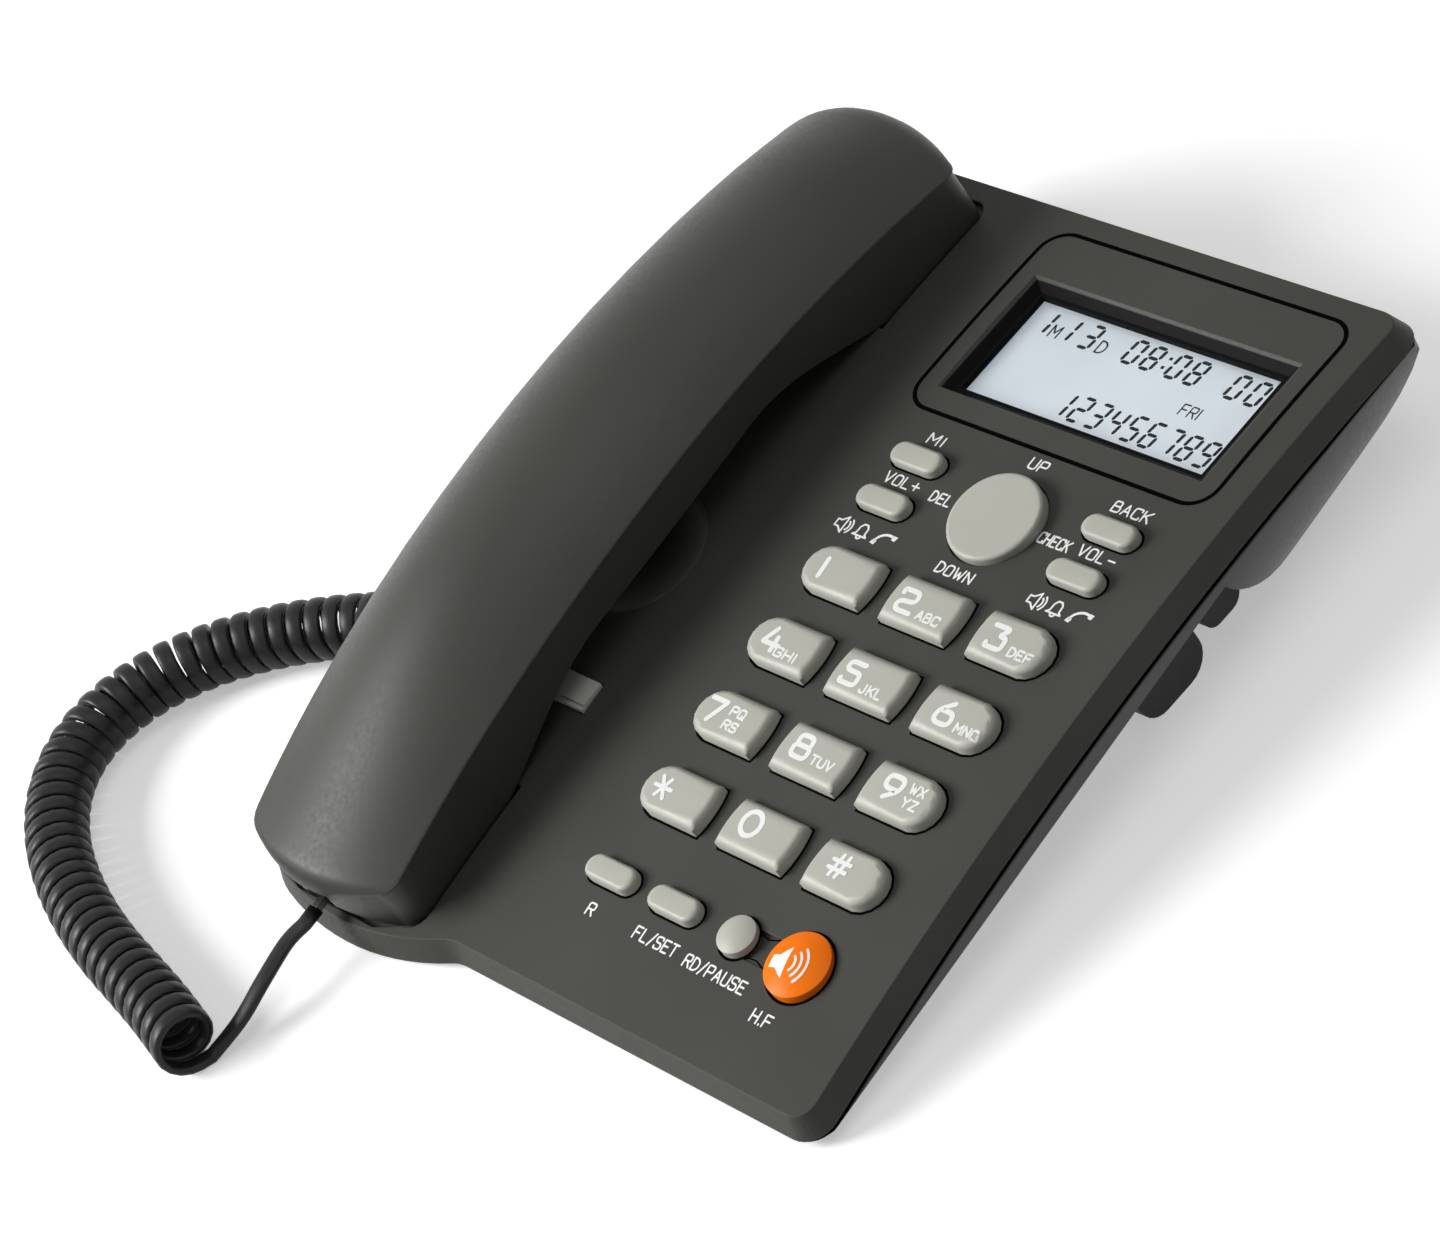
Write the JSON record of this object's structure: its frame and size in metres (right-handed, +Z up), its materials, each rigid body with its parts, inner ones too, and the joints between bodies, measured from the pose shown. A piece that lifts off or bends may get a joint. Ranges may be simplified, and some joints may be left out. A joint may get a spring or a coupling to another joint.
{
  "type": "corded telephone",
  "caption": "Desk telephone with a sloping keypad base, display window, arched handset resting in two wells and a curly cord.",
  "frame": {"origin": "centre of the base's plan box on the desk, cord left out", "axes": "+Z up, +Y to the back of the telephone, +X to its right, seen from the user"},
  "size_m": [0.2443, 0.2588, 0.0628],
  "materials": {
    "housing": "dark charcoal, fine matte texture",
    "pan": "dark grey, matte",
    "foot": "near black, matte",
    "pad_rubber": "black rubber",
    "steel": "bright",
    "bezel": "dark charcoal, matte",
    "window": "clear plastic window",
    "lcd": "pale grey liquid crystal panel",
    "board": "green circuit board",
    "mat_rubber": "grey silicone",
    "key": "light grey, satin",
    "speaker_key": "orange, satin",
    "hook": "mid grey, satin",
    "inner_plastic": "black",
    "speaker_frame": "dark grey",
    "socket": "black",
    "weight": "bare",
    "cord": "black satin vinyl"
  },
  "bodies": {
    "base": {"base_cover": "housing", "base_pan": "pan", "side_feet": "foot", "rubber_pads": "pad_rubber", "base_screws": "steel", "display_bezel": "bezel", "display_window": "window", "lcd_panel": "lcd", "main_board": "board", "keypad_mat": "mat_rubber", "hook_switch": "inner_plastic", "loudspeaker": "speaker_frame", "line_jack": "socket", "base_cord_jack": "socket", "cord_lead": "cord", "cord_curls": "cord", "cord_tail": "cord", "base_plug": "cord"},
    "handset": {"handset_top": "housing", "handset_body": "housing", "ear_capsule": "speaker_frame", "microphone": "speaker_frame", "handset_weight": "weight", "handset_jack": "socket", "handset_plug": "cord"},
    "hook": {"hook_plunger": "hook"},
    "nav_gimbal": {"nav_pivot": "inner_plastic"},
    "nav": {"nav_key": "key"},
    "key_1": {"key_1": "key"},
    "key_2": {"key_2": "key"},
    "key_3": {"key_3": "key"},
    "key_4": {"key_4": "key"},
    "key_5": {"key_5": "key"},
    "key_6": {"key_6": "key"},
    "key_7": {"key_7": "key"},
    "key_8": {"key_8": "key"},
    "key_9": {"key_9": "key"},
    "key_star": {"key_star": "key"},
    "key_0": {"key_0": "key"},
    "key_hash": {"key_hash": "key"},
    "key_memory": {"key_memory": "key"},
    "key_volume_up": {"key_volume_up": "key"},
    "key_back": {"key_back": "key"},
    "key_volume_down": {"key_volume_down": "key"},
    "key_flash": {"key_flash": "key"},
    "key_set": {"key_set": "key"},
    "key_redial": {"key_redial": "key"},
    "key_speaker": {"key_speaker": "speaker_key"}
  },
  "joints": [
    {"name": "handset_lift", "type": "slide", "parent": "base", "child": "handset", "axis": [0, -0.1478, 0.989], "range_m": [0, 0.08]},
    {"name": "hook_travel", "type": "slide", "parent": "base", "child": "hook", "axis": [0, -0.1478, 0.989], "range_m": [0, 0.0035]},
    {"name": "nav_fore_aft", "type": "hinge", "parent": "base", "child": "nav_gimbal", "pos_m": [0.0357, 0.02812, 0.02671], "axis": [1, 0, 0], "range_deg": [-3, 3], "stiffness_Nm_per_rad": 0.05},
    {"name": "nav_side", "type": "hinge", "parent": "nav_gimbal", "child": "nav", "pos_m": [0.0357, 0.02812, 0.02671], "axis": [0, 0.989, 0.1478], "range_deg": [-3, 3], "stiffness_Nm_per_rad": 0.05},
    {"name": "key_1_press", "type": "slide", "parent": "base", "child": "key_1", "axis": [0, 0.1478, -0.989], "range_m": [0, 0.0012], "stiffness_N_per_m": 200, "springref_m": -0.002},
    {"name": "key_2_press", "type": "slide", "parent": "base", "child": "key_2", "axis": [0, 0.1478, -0.989], "range_m": [0, 0.0012], "stiffness_N_per_m": 200, "springref_m": -0.002},
    {"name": "key_3_press", "type": "slide", "parent": "base", "child": "key_3", "axis": [0, 0.1478, -0.989], "range_m": [0, 0.0012], "stiffness_N_per_m": 200, "springref_m": -0.002},
    {"name": "key_4_press", "type": "slide", "parent": "base", "child": "key_4", "axis": [0, 0.1478, -0.989], "range_m": [0, 0.0012], "stiffness_N_per_m": 200, "springref_m": -0.002},
    {"name": "key_5_press", "type": "slide", "parent": "base", "child": "key_5", "axis": [0, 0.1478, -0.989], "range_m": [0, 0.0012], "stiffness_N_per_m": 200, "springref_m": -0.002},
    {"name": "key_6_press", "type": "slide", "parent": "base", "child": "key_6", "axis": [0, 0.1478, -0.989], "range_m": [0, 0.0012], "stiffness_N_per_m": 200, "springref_m": -0.002},
    {"name": "key_7_press", "type": "slide", "parent": "base", "child": "key_7", "axis": [0, 0.1478, -0.989], "range_m": [0, 0.0012], "stiffness_N_per_m": 200, "springref_m": -0.002},
    {"name": "key_8_press", "type": "slide", "parent": "base", "child": "key_8", "axis": [0, 0.1478, -0.989], "range_m": [0, 0.0012], "stiffness_N_per_m": 200, "springref_m": -0.002},
    {"name": "key_9_press", "type": "slide", "parent": "base", "child": "key_9", "axis": [0, 0.1478, -0.989], "range_m": [0, 0.0012], "stiffness_N_per_m": 200, "springref_m": -0.002},
    {"name": "key_star_press", "type": "slide", "parent": "base", "child": "key_star", "axis": [0, 0.1478, -0.989], "range_m": [0, 0.0012], "stiffness_N_per_m": 200, "springref_m": -0.002},
    {"name": "key_0_press", "type": "slide", "parent": "base", "child": "key_0", "axis": [0, 0.1478, -0.989], "range_m": [0, 0.0012], "stiffness_N_per_m": 200, "springref_m": -0.002},
    {"name": "key_hash_press", "type": "slide", "parent": "base", "child": "key_hash", "axis": [0, 0.1478, -0.989], "range_m": [0, 0.0012], "stiffness_N_per_m": 200, "springref_m": -0.002},
    {"name": "key_memory_press", "type": "slide", "parent": "base", "child": "key_memory", "axis": [0, 0.1478, -0.989], "range_m": [0, 0.0012], "stiffness_N_per_m": 200, "springref_m": -0.002},
    {"name": "key_volume_up_press", "type": "slide", "parent": "base", "child": "key_volume_up", "axis": [0, 0.1478, -0.989], "range_m": [0, 0.0012], "stiffness_N_per_m": 200, "springref_m": -0.002},
    {"name": "key_back_press", "type": "slide", "parent": "base", "child": "key_back", "axis": [0, 0.1478, -0.989], "range_m": [0, 0.0012], "stiffness_N_per_m": 200, "springref_m": -0.002},
    {"name": "key_volume_down_press", "type": "slide", "parent": "base", "child": "key_volume_down", "axis": [0, 0.1478, -0.989], "range_m": [0, 0.0012], "stiffness_N_per_m": 200, "springref_m": -0.002},
    {"name": "key_flash_press", "type": "slide", "parent": "base", "child": "key_flash", "axis": [0, 0.1478, -0.989], "range_m": [0, 0.0012], "stiffness_N_per_m": 200, "springref_m": -0.002},
    {"name": "key_set_press", "type": "slide", "parent": "base", "child": "key_set", "axis": [0, 0.1478, -0.989], "range_m": [0, 0.0012], "stiffness_N_per_m": 200, "springref_m": -0.002},
    {"name": "key_redial_press", "type": "slide", "parent": "base", "child": "key_redial", "axis": [0, 0.1478, -0.989], "range_m": [0, 0.0012], "stiffness_N_per_m": 200, "springref_m": -0.002},
    {"name": "key_speaker_press", "type": "slide", "parent": "base", "child": "key_speaker", "axis": [0, 0.1478, -0.989], "range_m": [0, 0.0012], "stiffness_N_per_m": 200, "springref_m": -0.002}
  ],
  "couplings": [
    {"joint": "hook_travel", "follows": "handset_lift", "ratio": 0.04375}
  ]
}
